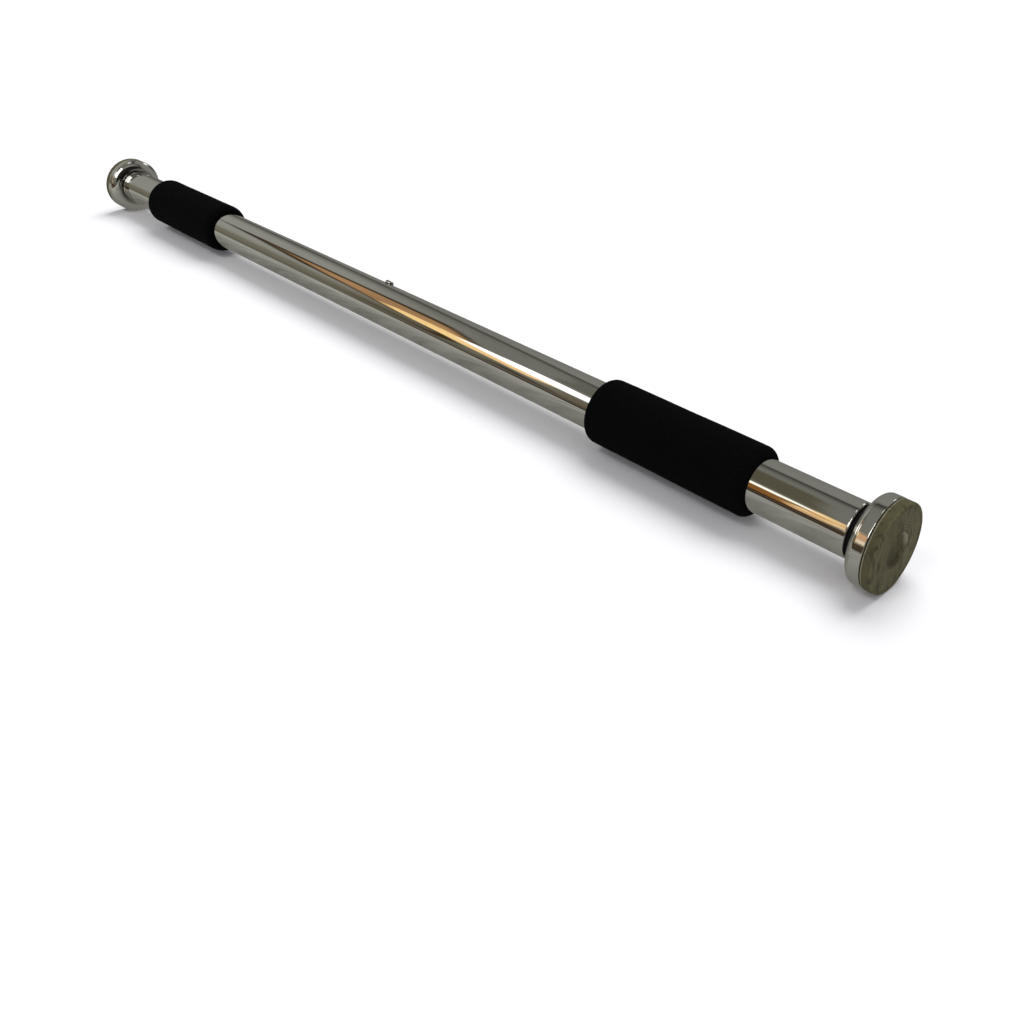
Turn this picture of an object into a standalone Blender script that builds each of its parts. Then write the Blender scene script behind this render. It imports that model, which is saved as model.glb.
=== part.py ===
"""Doorway pull-up bar: a chromed tube with a screw jack at each end.

Two threaded spindles are pinned to a block in the middle of the tube and turn with it. The right
one has a right-hand thread and the left one a left-hand thread, so the two stems, whose nuts ride
on them, move outwards together when the tube is turned, and press their pads against a door frame.

X runs along the bar, Z is up and the origin is the middle of the bar. Every size is in millimetres.
The bar is drawn at its shortest.
"""
import math

import bmesh
import bpy
from mathutils import Matrix, Vector

MM = 0.001
GAP = 0.3                      # between pieces that touch

# Outer tube
TUBE_RADIUS = 14.3
TUBE_WALL = 1.5
TUBE_BORE = TUBE_RADIUS - TUBE_WALL
TUBE_HALF_LENGTH = 362.0
MOUTH_ROUNDING = 1.0

# Foam grips
GRIP_INNER_END = 204.5
GRIP_OUTER_END = 309.0
GRIP_RADIUS = 19.15
GRIP_ROUNDING = 4.5

# Block in the middle of the tube, and the screw that holds it
BLOCK_HALF_LENGTH = 16.0
BLOCK_RADIUS = TUBE_BORE - GAP
BLOCK_BORE = 5.1
PIN_RADIUS = 1.5
PIN_OFFSET = 9.0
SCREW_TILT = math.radians(33)  # from straight up towards +Y
SCREW_RADIUS = 1.8
SCREW_TIP = 7.0
SCREW_HEAD_RADIUS = 3.1
SCREW_HEAD_HEIGHT = 1.9
SCREW_HEAD_ROUNDING = 1.3
SLOT_LENGTH = 3.2
SLOT_WIDTH = 0.7
SLOT_DEPTH = 1.0

# Spindles: trapezoidal thread, 14 mm across with a pitch of 4 mm
PITCH = 4.0
TURNS_OF_TRAVEL = 16
TRAVEL = PITCH * TURNS_OF_TRAVEL
THREAD_CREST = 7.0
THREAD_ROOT = 4.9
THREAD_CREST_WIDTH = 1.2
THREAD_FLANK = math.radians(15)
THREAD_START = 20.0
SHANK_RADIUS = 4.8
SHANK_START = 1.0
STOP_CLEARANCE = 4.0           # thread left beyond the nut at full travel

# Nut in the inner end of each stem
NUT_START = 24.0
NUT_LENGTH = 18.0
NUT_FLANGE_RADIUS = 12.3
NUT_FLANGE_LENGTH = 2.7
NUT_CREST = 5.3
NUT_ROOT = 7.45
NUT_CREST_WIDTH = 1.1
RIVET_RADIUS = 1.3
RIVET_HEAD_RADIUS = 2.1
RIVET_HEAD_HEIGHT = 0.9
RIVET_CHAMFER = (0.4, 0.7)     # along the rivet and across it
RIVET_POSITION = 38.5
RIVET_TIP = 8.4
THREAD_END = NUT_START + NUT_LENGTH + TRAVEL + STOP_CLEARANCE

# Stop washer and screw on the end of each spindle
STOP_RADIUS = 8.6
STOP_LENGTH = 3.0
STOP_SCREW_RADIUS = 1.8
STOP_SCREW_DEPTH = 9.0
STOP_HEAD_RADIUS = 4.0
STOP_HEAD_LENGTH = 3.0
STOP_HEAD_TAPER = 0.6

# Stem that slides out of each end, its guide ring, bush and collar
STEM_RADIUS = 11.0
STEM_WALL = 1.2
STEM_BORE = STEM_RADIUS - STEM_WALL
STEM_START = NUT_START + NUT_FLANGE_LENGTH + GAP
RING_LENGTH = 8.5
BUSH_LENGTH = 30.0
BUSH_LEAD = 1.0                # chamfer on its inner end
BUSH_NOSE_RADIUS = 13.2
BUSH_NOSE_LENGTH = 1.5
COLLAR_RADIUS = 13.6
COLLAR_LENGTH = 2.6
COLLAR_ROUNDING = 1.0

# Pressed cup, its plate and bolt, and the rubber pad
CUP_RADIUS = 23.0
CUP_WALL = 1.5
CUP_DEPTH = 8.0
CUP_ROUNDING = 2.4
PLATE_THICKNESS = 1.6
PLATE_RADIUS = 20.3
BOLT_RADIUS = 4.0
BOLT_HEAD_RADIUS = 7.5
BOLT_HEAD_LENGTH = 4.0
BOLT_REACH = 15.0
WASHER_RADIUS = 8.0
WASHER_THICKNESS = 1.3
PLUG_LENGTH = 20.0
PLUG_HOLE_SPARE = 3.5          # room past the bolt's tip
PAD_RADIUS = 22.9
PAD_PLUG_RADIUS = 21.2
PAD_THICKNESS = 5.7
PAD_ROUNDING = 1.5
PAD_POCKET_RADIUS = 9.0
PAD_POCKET_DEPTH = 2.0
PAD_RECESS_RADIUS = 8.0
PAD_RECESS_DEPTH = 1.8
PAD_RECESS_TAPER = 0.6

# Places along the bar that follow from the sizes above
NOSE_START = TUBE_HALF_LENGTH + GAP
COLLAR_START = NOSE_START + BUSH_NOSE_LENGTH + GAP
STEM_END = COLLAR_START + COLLAR_LENGTH
CUP_BACK = STEM_END + GAP
CUP_RIM = CUP_BACK + CUP_DEPTH
PLATE_START = CUP_BACK + CUP_WALL + GAP
WASHER_START = PLATE_START + PLATE_THICKNESS + GAP
HEAD_START = WASHER_START + WASHER_THICKNESS + GAP
PAD_START = CUP_RIM + GAP
PAD_FACE = PAD_START + PAD_THICKNESS

LARGE_ROUND = 28
MEDIUM_ROUND = 20
SMALL_ROUND = 12
THREAD_STEPS = 10

FINISHES = {                   # colour, metallic, roughness
    "chrome": ((0.62, 0.62, 0.60), 1.0, 0.05),
    "zinc": ((0.55, 0.55, 0.53), 1.0, 0.35),
    "steel": ((0.40, 0.40, 0.40), 1.0, 0.40),
    "foam": ((0.006, 0.006, 0.006), 0.0, 0.95),
    "nylon": ((0.010, 0.010, 0.010), 0.0, 0.50),
    "rubber": ((0.085, 0.075, 0.045), 0.0, 0.60),
}


def new_collection(name):
    """Return a new collection in the scene."""
    collection = bpy.data.collections.new(name)
    bpy.context.scene.collection.children.link(collection)
    return collection


def new_object(name, mesh, collection, place=(0, 0, 0)):
    """Return a new object at a place given in millimetres."""
    thing = bpy.data.objects.new(name, mesh)
    thing.location = Vector(place) * MM
    collection.objects.link(thing)
    return thing


def finished(thing, finish):
    """Give an object a material of its own and smooth, crisp shading."""
    colour, metallic, roughness = FINISHES[finish]
    material = bpy.data.materials.new(f"{thing.name} {finish}")
    material.use_nodes = True
    shader = material.node_tree.nodes["Principled BSDF"]
    shader.inputs["Base Color"].default_value = (*colour, 1)
    shader.inputs["Metallic"].default_value = metallic
    shader.inputs["Roughness"].default_value = roughness
    thing.data.materials.append(material)
    thing.data.shade_smooth()
    thing.data.set_sharp_from_angle(angle=math.radians(35))
    return thing


def arc(x, radius, rounding, start, end, steps=2):
    """Points of an arc round (x, radius), angles in degrees from the bar's own direction."""
    angles = [math.radians(start + (end - start) * step / steps) for step in range(steps + 1)]
    return [(x + rounding * math.cos(a), radius + rounding * math.sin(a)) for a in angles]


def turned(name, outline, side, collection, segments=MEDIUM_ROUND, closed=True):
    """Turn an outline of (x, radius) points about the bar's axis.

    The outline runs outwards over the piece: a ring's is a closed loop, a solid's starts and ends
    on the axis. It is drawn for the right side, and side -1 mirrors it.
    """
    points = [(side * x, radius) for x, radius in outline]
    if side > 0:
        points.reverse()
    start = side * outline[0][0]
    mesh = bpy.data.meshes.new(name)
    vertices = [((x - start) * MM, 0, radius * MM) for x, radius in points]
    edges = [(i, i + 1) for i in range(len(points) - 1)]
    if closed:
        edges.append((len(points) - 1, 0))
    mesh.from_pydata(vertices, edges, [])
    thing = new_object(name, mesh, collection, (start, 0, 0))
    turn = thing.modifiers.new("Turn", "SCREW")
    turn.axis = "X"
    turn.steps = segments
    turn.render_steps = segments
    turn.use_merge_vertices = True
    turn.merge_threshold = 0.000001
    turn.use_normal_calculate = False
    return thing


def ring(start, end, inner, outer):
    """Outline of a plain ring."""
    return [(start, inner), (start, outer), (end, outer), (end, inner)]


def rod(name, radius, start, end, collection, segments=SMALL_ROUND, place=(0, 0, 0), turn=None):
    """A cylinder along X from start to end, then turned by a matrix and moved to its place."""
    shape = bmesh.new()
    bmesh.ops.create_cone(shape, cap_ends=True, segments=segments, radius1=radius * MM,
                          radius2=radius * MM, depth=(end - start) * MM)
    lay_down = Matrix.Rotation(math.pi / 2, 4, "Y")
    bmesh.ops.transform(shape, matrix=lay_down, verts=shape.verts)
    shift = Matrix.Translation(((start + end) / 2 * MM, 0, 0))
    bmesh.ops.transform(shape, matrix=shift, verts=shape.verts)
    mesh = bpy.data.meshes.new(name)
    shape.to_mesh(mesh)
    shape.free()
    thing = new_object(name, mesh, collection, place)
    if turn:
        thing.rotation_euler = turn.to_euler()
    return thing


def combine(target, tool, operation):
    """Cut a tool out of a piece, or join it on, with a Boolean modifier."""
    tool.hide_render = True
    tool.display_type = "WIRE"
    boolean = target.modifiers.new(operation.title(), "BOOLEAN")
    boolean.operation = operation
    boolean.object = tool


def threaded(name, side, start, end, crest, root, crest_width, collection):
    """A threaded rod, right-handed on the right side and left-handed on the left."""
    flank = (crest - root) * math.tan(THREAD_FLANK)
    tooth = [(-crest_width / 2 - flank, root), (-crest_width / 2, crest),
             (crest_width / 2, crest), (crest_width / 2 + flank, root)]
    outline = tooth + [(tooth[0][0] + PITCH, root)]
    turns = math.ceil((end - start) / PITCH) + 2
    first = (math.floor(start / PITCH) - 1) * PITCH
    shape = bmesh.new()
    points = [shape.verts.new((side * (first + x) * MM, 0, radius * MM)) for x, radius in outline]
    edges = [shape.edges.new(pair) for pair in zip(points, points[1:])]
    bmesh.ops.spin(shape, geom=points + edges, cent=(0, 0, 0), axis=(1, 0, 0),
                   dvec=(side * PITCH / THREAD_STEPS * MM, 0, 0), angle=2 * math.pi * turns,
                   steps=THREAD_STEPS * turns)
    bmesh.ops.remove_doubles(shape, verts=shape.verts, dist=0.000001)
    for place, direction in ((start, -side), (end, side)):
        geometry = shape.verts[:] + shape.edges[:] + shape.faces[:]
        bmesh.ops.bisect_plane(shape, geom=geometry, dist=0.000001, plane_co=(side * place * MM, 0, 0),
                               plane_no=(direction, 0, 0), clear_outer=True)
        rim = [edge for edge in shape.edges if edge.is_boundary and
               all(abs(v.co.x - side * place * MM) < 0.000002 for v in edge.verts)]
        bmesh.ops.edgeloop_fill(shape, edges=rim)
    bmesh.ops.recalc_face_normals(shape, faces=shape.faces)
    mesh = bpy.data.meshes.new(name)
    shape.to_mesh(mesh)
    shape.free()
    return new_object(name, mesh, collection)


def outer_tube(parts, tools):
    """The chromed tube, its mouths rounded, with a hole for the middle screw."""
    half = [(0, TUBE_BORE), (-TUBE_HALF_LENGTH, TUBE_BORE)]
    left = arc(-TUBE_HALF_LENGTH + MOUTH_ROUNDING, TUBE_RADIUS - MOUTH_ROUNDING, MOUTH_ROUNDING, 180, 90)
    right = arc(TUBE_HALF_LENGTH - MOUTH_ROUNDING, TUBE_RADIUS - MOUTH_ROUNDING, MOUTH_ROUNDING, 90, 0)
    outline = half + left + right + [(TUBE_HALF_LENGTH, TUBE_BORE)]
    tube = turned("outer_tube", outline, 1, parts, LARGE_ROUND)
    hole = rod("tube_screw_hole", SCREW_RADIUS + GAP, 0, TUBE_RADIUS * 2, tools, turn=screw_direction())
    combine(tube, hole, "DIFFERENCE")
    return finished(tube, "chrome")


def screw_direction():
    """Turn from +X to the way the middle screw points out of the tube."""
    upright = Matrix.Rotation(-math.pi / 2, 3, "Y")
    tilt = Matrix.Rotation(-SCREW_TILT, 3, "X")
    return tilt @ upright


def centre_block(parts, tools):
    """The block that ties both spindles to the tube."""
    outline = ring(-BLOCK_HALF_LENGTH, BLOCK_HALF_LENGTH, BLOCK_BORE, BLOCK_RADIUS)
    block = turned("centre_block", outline, 1, parts, MEDIUM_ROUND)
    for side in (-1, 1):
        hole = rod(f"block_pin_hole_{side}", PIN_RADIUS + GAP, -TUBE_RADIUS, TUBE_RADIUS, tools,
                   place=(side * PIN_OFFSET, 0, 0), turn=Matrix.Rotation(math.pi / 2, 3, "Z"))
        combine(block, hole, "DIFFERENCE")
    hole = rod("block_screw_hole", SCREW_RADIUS + GAP, SCREW_TIP - 2 * GAP, TUBE_RADIUS, tools,
               turn=screw_direction())
    combine(block, hole, "DIFFERENCE")
    return finished(block, "nylon")


def centre_screw(parts, tools):
    """Pan-head screw through the tube wall, with a cross recess in its head."""
    base = TUBE_RADIUS + GAP / 2
    top = base + SCREW_HEAD_HEIGHT
    head = arc(top - SCREW_HEAD_ROUNDING, SCREW_HEAD_RADIUS - SCREW_HEAD_ROUNDING,
               SCREW_HEAD_ROUNDING, 90, 0)
    outline = [(SCREW_TIP, 0), (SCREW_TIP, SCREW_RADIUS), (base, SCREW_RADIUS),
               (base, SCREW_HEAD_RADIUS)] + head + [(top, 0)]
    screw = turned("centre_screw", outline, 1, parts, SMALL_ROUND, closed=False)
    screw.location = screw_direction() @ screw.location
    screw.rotation_euler = screw_direction().to_euler()
    for quarter in range(2):
        slot = bmesh.new()
        bmesh.ops.create_cube(slot, size=1)
        size = Matrix.Diagonal((2 * SLOT_DEPTH * MM, SLOT_WIDTH * MM, SLOT_LENGTH * MM, 1))
        across = Matrix.Rotation(quarter * math.pi / 2, 4, "X")
        shift = Matrix.Translation(((top - SCREW_TIP) * MM, 0, 0))
        bmesh.ops.transform(slot, matrix=shift @ across @ size, verts=slot.verts)
        mesh = bpy.data.meshes.new(f"screw_slot_{quarter}")
        slot.to_mesh(mesh)
        slot.free()
        tool = new_object(mesh.name, mesh, tools)
        tool.location = screw.location
        tool.rotation_euler = screw.rotation_euler
        combine(screw, tool, "DIFFERENCE")
    return finished(screw, "zinc")


def spindle(name, side, parts, tools):
    """Threaded rod with a plain shank, cross-drilled for its pin and drilled for its end screw."""
    thing = threaded(f"spindle_{name}", side, THREAD_START, THREAD_END, THREAD_CREST, THREAD_ROOT,
                     THREAD_CREST_WIDTH, parts)
    ends = sorted((side * SHANK_START, side * (THREAD_START + 1)))
    shank = rod(f"shank_{name}", SHANK_RADIUS, *ends, tools, THREAD_STEPS)
    combine(thing, shank, "UNION")
    hole = rod(f"spindle_pin_hole_{name}", PIN_RADIUS + GAP, -TUBE_RADIUS, TUBE_RADIUS, tools,
               place=(side * PIN_OFFSET, 0, 0), turn=Matrix.Rotation(math.pi / 2, 3, "Z"))
    combine(thing, hole, "DIFFERENCE")
    ends = sorted((side * (THREAD_END - STOP_SCREW_DEPTH - 1), side * (THREAD_END + 1)))
    hole = rod(f"spindle_end_hole_{name}", STOP_SCREW_RADIUS + GAP, *ends, tools)
    combine(thing, hole, "DIFFERENCE")
    return finished(thing, "steel")


def spindle_pin(name, side, parts):
    """Pin that holds a spindle in the block."""
    reach = TUBE_BORE - 3 * GAP
    pin = rod(f"spindle_pin_{name}", PIN_RADIUS, -reach, reach, parts,
              place=(side * PIN_OFFSET, 0, 0), turn=Matrix.Rotation(math.pi / 2, 3, "Z"))
    return finished(pin, "steel")


def spindle_stop(name, side, parts):
    """Washer on the end of a spindle, which the nut can't pass, and its screw."""
    start = THREAD_END + GAP
    outline = ring(start, start + STOP_LENGTH, STOP_SCREW_RADIUS + GAP, STOP_RADIUS)
    washer = turned(f"stop_washer_{name}", outline, side, parts)
    finished(washer, "zinc")
    head = start + STOP_LENGTH + GAP
    tip = THREAD_END - STOP_SCREW_DEPTH
    end = head + STOP_HEAD_LENGTH
    outline = [(tip, 0), (tip, STOP_SCREW_RADIUS), (head, STOP_SCREW_RADIUS),
               (head, STOP_HEAD_RADIUS), (end, STOP_HEAD_RADIUS - STOP_HEAD_TAPER), (end, 0)]
    screw = turned(f"stop_screw_{name}", outline, side, parts, SMALL_ROUND, closed=False)
    finished(screw, "zinc")


def foam_grip(name, side, parts):
    """Foam sleeve with round ends."""
    bore = TUBE_RADIUS + GAP
    centre = GRIP_RADIUS - GRIP_ROUNDING
    inner = arc(GRIP_INNER_END + GRIP_ROUNDING, centre, GRIP_ROUNDING, 180, 90, 3)
    outer = arc(GRIP_OUTER_END - GRIP_ROUNDING, centre, GRIP_ROUNDING, 90, 0, 3)
    outline = [(GRIP_INNER_END, bore)] + inner + outer + [(GRIP_OUTER_END, bore)]
    return finished(turned(f"foam_grip_{name}", outline, side, parts, LARGE_ROUND), "foam")


def guide_bush(name, side, parts):
    """Black bush in the mouth of the tube, which the stem slides through."""
    bore = STEM_RADIUS + GAP
    start = NOSE_START - BUSH_LENGTH
    nose = NOSE_START + BUSH_NOSE_LENGTH
    outline = [(start, bore), (start, TUBE_BORE - 2 * GAP), (start + BUSH_LEAD, TUBE_BORE - GAP),
               (NOSE_START, TUBE_BORE - GAP), (NOSE_START, BUSH_NOSE_RADIUS),
               (nose, BUSH_NOSE_RADIUS), (nose, bore)]
    return finished(turned(f"guide_bush_{name}", outline, side, parts, LARGE_ROUND), "nylon")


def stem_tube(name, side, parts, tools):
    """Inner tube that slides out of the end of the bar."""
    outline = ring(STEM_START, STEM_END, STEM_BORE, STEM_RADIUS)
    stem = turned(f"stem_tube_{name}", outline, side, parts, LARGE_ROUND)
    hole = rivet_hole(f"stem_rivet_hole_{name}", side, tools, -TUBE_RADIUS, TUBE_RADIUS)
    combine(stem, hole, "DIFFERENCE")
    return finished(stem, "chrome")


def rivet_hole(name, side, tools, start, end):
    """Cutter across the bar at the rivets' place."""
    return rod(name, RIVET_RADIUS + GAP, start, end, tools,
               place=(side * RIVET_POSITION, 0, 0), turn=Matrix.Rotation(math.pi / 2, 3, "Z"))


def spindle_nut(name, side, parts, tools):
    """Flanged nut in the stem, tapped right through, with two blind holes for its rivets."""
    end = NUT_START + NUT_LENGTH
    flange_end = NUT_START + NUT_FLANGE_LENGTH
    body = STEM_BORE - GAP
    outline = [(NUT_START, 0), (NUT_START, NUT_FLANGE_RADIUS), (flange_end, NUT_FLANGE_RADIUS),
               (flange_end, body), (end, body), (end, 0)]
    nut = turned(f"spindle_nut_{name}", outline, side, parts, MEDIUM_ROUND, closed=False)
    nut.rotation_euler.x = math.pi / MEDIUM_ROUND / 2      # its facets clear of the thread's
    tap = threaded(f"tap_{name}", side, NUT_START - 2, end + 2, NUT_ROOT, NUT_CREST,
                   PITCH - NUT_CREST_WIDTH - 2 * (NUT_ROOT - NUT_CREST) * math.tan(THREAD_FLANK), tools)
    combine(nut, tap, "DIFFERENCE")
    depth = RIVET_TIP - GAP
    for way, reach in (("front", (-TUBE_RADIUS, -depth)), ("rear", (depth, TUBE_RADIUS))):
        combine(nut, rivet_hole(f"nut_rivet_hole_{name}_{way}", side, tools, *reach), "DIFFERENCE")
    return finished(nut, "steel")


def nut_rivets(name, side, parts):
    """Two rivets through the stem's wall, whose heads also keep the guide ring in place."""
    base = STEM_RADIUS + GAP / 2
    top = base + RIVET_HEAD_HEIGHT
    down, across = RIVET_CHAMFER
    outline = [(RIVET_TIP, 0), (RIVET_TIP, RIVET_RADIUS), (base, RIVET_RADIUS),
               (base, RIVET_HEAD_RADIUS), (top - down, RIVET_HEAD_RADIUS),
               (top, RIVET_HEAD_RADIUS - across), (top, 0)]
    for way, quarter in (("front", -math.pi / 2), ("rear", math.pi / 2)):
        rivet = turned(f"nut_rivet_{name}_{way}", outline, 1, parts, SMALL_ROUND, closed=False)
        turn = Matrix.Rotation(quarter, 3, "Z")
        rivet.location = turn @ rivet.location + Vector((side * RIVET_POSITION * MM, 0, 0))
        rivet.rotation_euler = turn.to_euler()
        finished(rivet, "steel")


def guide_ring(name, side, parts):
    """Ring on the inner end of the stem, which keeps it central in the tube."""
    outline = ring(STEM_START, STEM_START + RING_LENGTH, STEM_RADIUS + GAP, TUBE_BORE - GAP)
    return finished(turned(f"guide_ring_{name}", outline, side, parts), "nylon")


def stop_collar(name, side, parts):
    """Collar on the stem, which meets the bush when the bar is at its shortest."""
    bore = STEM_RADIUS + GAP
    end = COLLAR_START + COLLAR_LENGTH
    centre = COLLAR_RADIUS - COLLAR_ROUNDING
    outline = [(COLLAR_START, bore)]
    outline += arc(COLLAR_START + COLLAR_ROUNDING, centre, COLLAR_ROUNDING, 180, 90)
    outline += arc(end - COLLAR_ROUNDING, centre, COLLAR_ROUNDING, 90, 0)
    outline.append((end, bore))
    return finished(turned(f"stop_collar_{name}", outline, side, parts, LARGE_ROUND), "chrome")


def end_plug(name, side, parts):
    """Steel plug welded in the outer end of the stem, drilled for the cup's bolt."""
    start = STEM_END - PLUG_LENGTH
    bottom = HEAD_START - BOLT_REACH - PLUG_HOLE_SPARE
    radius = STEM_BORE - GAP
    outline = [(start, 0), (start, radius), (STEM_END, radius), (STEM_END, BOLT_RADIUS + GAP),
               (bottom, BOLT_RADIUS + GAP), (bottom, 0)]
    return finished(turned(f"end_plug_{name}", outline, side, parts, closed=False), "steel")


def end_cup(name, side, parts):
    """Pressed cup that holds the pad."""
    back = CUP_BACK + CUP_ROUNDING
    inside = CUP_RADIUS - CUP_WALL
    corner = CUP_ROUNDING - CUP_WALL
    outline = [(CUP_BACK, BOLT_RADIUS + GAP)]
    outline += arc(back, CUP_RADIUS - CUP_ROUNDING, CUP_ROUNDING, 180, 90, 3)
    outline += [(CUP_RIM, CUP_RADIUS), (CUP_RIM, inside)]
    outline += arc(back, CUP_RADIUS - CUP_ROUNDING, corner, 90, 180, 1)
    outline.append((CUP_BACK + CUP_WALL, BOLT_RADIUS + GAP))
    return finished(turned(f"end_cup_{name}", outline, side, parts, LARGE_ROUND), "chrome")


def cup_fixings(name, side, parts, tools):
    """Backing plate, washer and hexagon bolt that fasten the cup to the plug."""
    hole = BOLT_RADIUS + GAP
    outline = ring(PLATE_START, PLATE_START + PLATE_THICKNESS, hole, PLATE_RADIUS)
    finished(turned(f"backing_plate_{name}", outline, side, parts), "zinc")
    outline = ring(WASHER_START, WASHER_START + WASHER_THICKNESS, hole, WASHER_RADIUS)
    finished(turned(f"bolt_washer_{name}", outline, side, parts), "zinc")
    ends = sorted((side * HEAD_START, side * (HEAD_START + BOLT_HEAD_LENGTH)))
    bolt = rod(f"cup_bolt_{name}", BOLT_HEAD_RADIUS, *ends, parts, segments=6)
    ends = sorted((side * (HEAD_START - BOLT_REACH), side * (HEAD_START + 1)))
    shank = rod(f"bolt_shank_{name}", BOLT_RADIUS, *ends, tools)
    combine(bolt, shank, "UNION")
    finished(bolt, "zinc")


def end_pad(name, side, parts):
    """Rubber pad that fits in the cup, hollow over the bolt, with a round recess in its face."""
    inner = PLATE_START + PLATE_THICKNESS + GAP
    pocket = PAD_START + PAD_POCKET_DEPTH
    floor = PAD_FACE - PAD_RECESS_DEPTH
    outline = [(pocket, 0), (pocket, PAD_POCKET_RADIUS), (inner, PAD_POCKET_RADIUS),
               (inner, PAD_PLUG_RADIUS), (PAD_START, PAD_PLUG_RADIUS), (PAD_START, PAD_RADIUS)]
    outline += arc(PAD_FACE - PAD_ROUNDING, PAD_RADIUS - PAD_ROUNDING, PAD_ROUNDING, 90, 0)
    outline += [(PAD_FACE, PAD_RECESS_RADIUS), (floor, PAD_RECESS_RADIUS - PAD_RECESS_TAPER), (floor, 0)]
    return finished(turned(f"end_pad_{name}", outline, side, parts, LARGE_ROUND, closed=False), "rubber")


def build():
    """Make the whole bar."""
    for thing in list(bpy.data.objects):
        bpy.data.objects.remove(thing)
    parts = new_collection("pull_up_bar")
    tools = new_collection("cutters")
    outer_tube(parts, tools)
    centre_block(parts, tools)
    centre_screw(parts, tools)
    for name, side in (("left", -1), ("right", 1)):
        spindle(name, side, parts, tools)
        spindle_pin(name, side, parts)
        spindle_stop(name, side, parts)
        foam_grip(name, side, parts)
        guide_bush(name, side, parts)
        stem_tube(name, side, parts, tools)
        spindle_nut(name, side, parts, tools)
        nut_rivets(name, side, parts)
        guide_ring(name, side, parts)
        stop_collar(name, side, parts)
        end_plug(name, side, parts)
        end_cup(name, side, parts)
        cup_fixings(name, side, parts, tools)
        end_pad(name, side, parts)


build()
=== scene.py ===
"""Looks of the doorway pull-up bar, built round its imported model.

Each visible CAD piece is replaced by a fine turned one in the same place. The chrome mirrors what
stands round it, so in mirrors the world is a grey room with windows, warm curtains and a dark skirting.
Everything else is lit by a plain pale world and three soft lights.
"""
import math

import bmesh
import bpy
from mathutils import Matrix, Vector, noise

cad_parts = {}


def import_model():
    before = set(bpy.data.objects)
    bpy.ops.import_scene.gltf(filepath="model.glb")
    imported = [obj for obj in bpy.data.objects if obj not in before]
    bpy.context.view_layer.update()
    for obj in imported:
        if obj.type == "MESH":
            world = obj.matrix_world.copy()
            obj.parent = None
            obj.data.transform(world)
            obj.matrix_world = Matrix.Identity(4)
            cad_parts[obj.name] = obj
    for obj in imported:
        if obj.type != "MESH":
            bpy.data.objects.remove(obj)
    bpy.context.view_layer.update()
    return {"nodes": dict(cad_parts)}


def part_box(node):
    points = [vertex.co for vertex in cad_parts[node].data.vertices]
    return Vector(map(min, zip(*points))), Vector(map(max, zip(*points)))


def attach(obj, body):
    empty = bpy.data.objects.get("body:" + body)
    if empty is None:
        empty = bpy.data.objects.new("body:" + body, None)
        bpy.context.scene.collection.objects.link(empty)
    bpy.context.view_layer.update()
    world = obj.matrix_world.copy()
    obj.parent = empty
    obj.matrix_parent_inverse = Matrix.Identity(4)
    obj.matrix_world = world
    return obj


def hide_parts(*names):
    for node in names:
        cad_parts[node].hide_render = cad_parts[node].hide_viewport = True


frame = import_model()

MM = 0.001
SIDES = (("left", -1), ("right", 1))

# Facets round a turned piece, round a grip, and round a cup or a pad
ROUND = 128
GRIP_ROUND = 120
END_ROUND = 160

# Fine shapes, in millimetres. Bores, holes, heads and other round sizes are radii.
TUBE_BORE = 12.8
STEM_BORE = 9.8
FIT = 0.3                      # gap between pieces that touch
NOSE = 1.5                     # length of a bush's nose, which shows outside the tube
GUARD = 0.2                    # from the end of a rounding to the point that keeps the flat beside it flat
LONG_FLAT = 1.6                # a flat has room for it when it is this many times the rounding's reach

GRIP_FIT = 0.12                # from the tube's skin to a grip's bore
GRIP_EDGE = 4.4                # rounding of a grip's ends
GRIP_POINTS = 1.6              # longest stretch of its outline without a point

DOME_RISE = 1.7                # how far a cup's face stands out round the collar
DOME_DEEP = 4.8                # from there to where its straight band starts
DOME_HOLE = 14.2               # the dome ends here, round the collar
DOME_STEPS = 30
CUP_WALL = 1.5
BOLT_HOLE = 4.3

PAD_EDGE = 5.7                 # depth of the part of a pad that stands out of its cup
PAD_STEM = 21.2                # the part of a pad inside its cup
PAD_BORE = 9.0                 # hole in a pad's back, round the bolt
RECESS = 8.7                   # mouth of the recess in a pad's face
RECESS_DEEP = 1.7
RINGS = 8                      # moulded rings in a pad's face
RING_PITCH = 1.27              # from one ring to the next
RING_FIRST = 19.5

SCREW_SHANK = 1.8
SCREW_HEAD = 3.1
SCREW_RISE = 2.05              # how far its head stands out of the tube
SCREW_LOW = 7.0                # the shank starts here, this far from the bar's axis
SLOT = (2.2, 0.62, 3.4)        # twice the depth of the cross in the head, its width and its length
SLOT_TURN = 0.35               # of the cross in the head, in radians

# Chrome shows this share of the light of what stands round it
CHROME = 0.60

# Where each light comes from, its strength, and how many degrees of the sky it fills
LIGHTS = {
    "key": ((-0.12, 0.48, 1.00), 2.18, 46),
    "front": ((-0.12, -0.76, 1.00), 0.42, 14),
    "fill": ((0.95, -0.9, 0.6), 0.66, 60),
}
FLOOR_RADIUS = 14              # metres

# The camera's lens in millimetres, and its place in metres and its turn in degrees
LENS = 36.48
LENS_SHIFT = (0.0118, -0.1564)
CAMERA_PLACE = (0.5340, -0.3976, 0.2759)
CAMERA_TURN = (64.78, -1.15, 46.70)


def mirrored(*colour):
    """The linear light, with full alpha, of a thing that chrome shows as this 8-bit sRGB colour."""
    light = []
    for value in colour:
        value /= 255
        light.append((value / 12.92 if value <= 0.04045 else ((value + 0.055) / 1.055) ** 2.4) / CHROME)
    return (*light, 1.0)


# ---------------------------------------------------------------- shapes

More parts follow.
